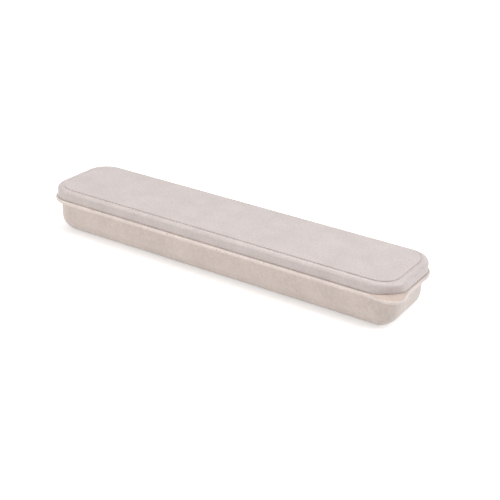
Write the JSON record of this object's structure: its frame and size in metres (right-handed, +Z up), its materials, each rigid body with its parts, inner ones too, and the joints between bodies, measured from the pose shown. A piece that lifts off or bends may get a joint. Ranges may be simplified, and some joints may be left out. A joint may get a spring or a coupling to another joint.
{
  "type": "utensil case",
  "caption": "Slim moulded tray with rounded corners, an outward rim and a corner finger tab, closed by a lift-off lid, for carrying cutlery or chopsticks.",
  "frame": {"origin": "under the middle of the tray, on the surface that the case stands on", "axes": "+X along the case towards the end with the finger tab, -Y towards the long side with the finger tab, +Z up"},
  "size_m": [0.245, 0.058, 0.03],
  "materials": {
    "tray_plastic": "satin moulded straw-fibre plastic, warm pinkish beige with fine flecks",
    "lid_plastic": "satin moulded straw-fibre plastic, warm pinkish beige with fine flecks"
  },
  "bodies": {
    "tray": {"tray": "tray_plastic"},
    "lid": {"lid": "lid_plastic"}
  },
  "joints": [
    {"name": "lid_lift", "type": "slide", "parent": "tray", "child": "lid", "axis": [0, 0, 1], "range_m": [0, 0.05]}
  ]
}
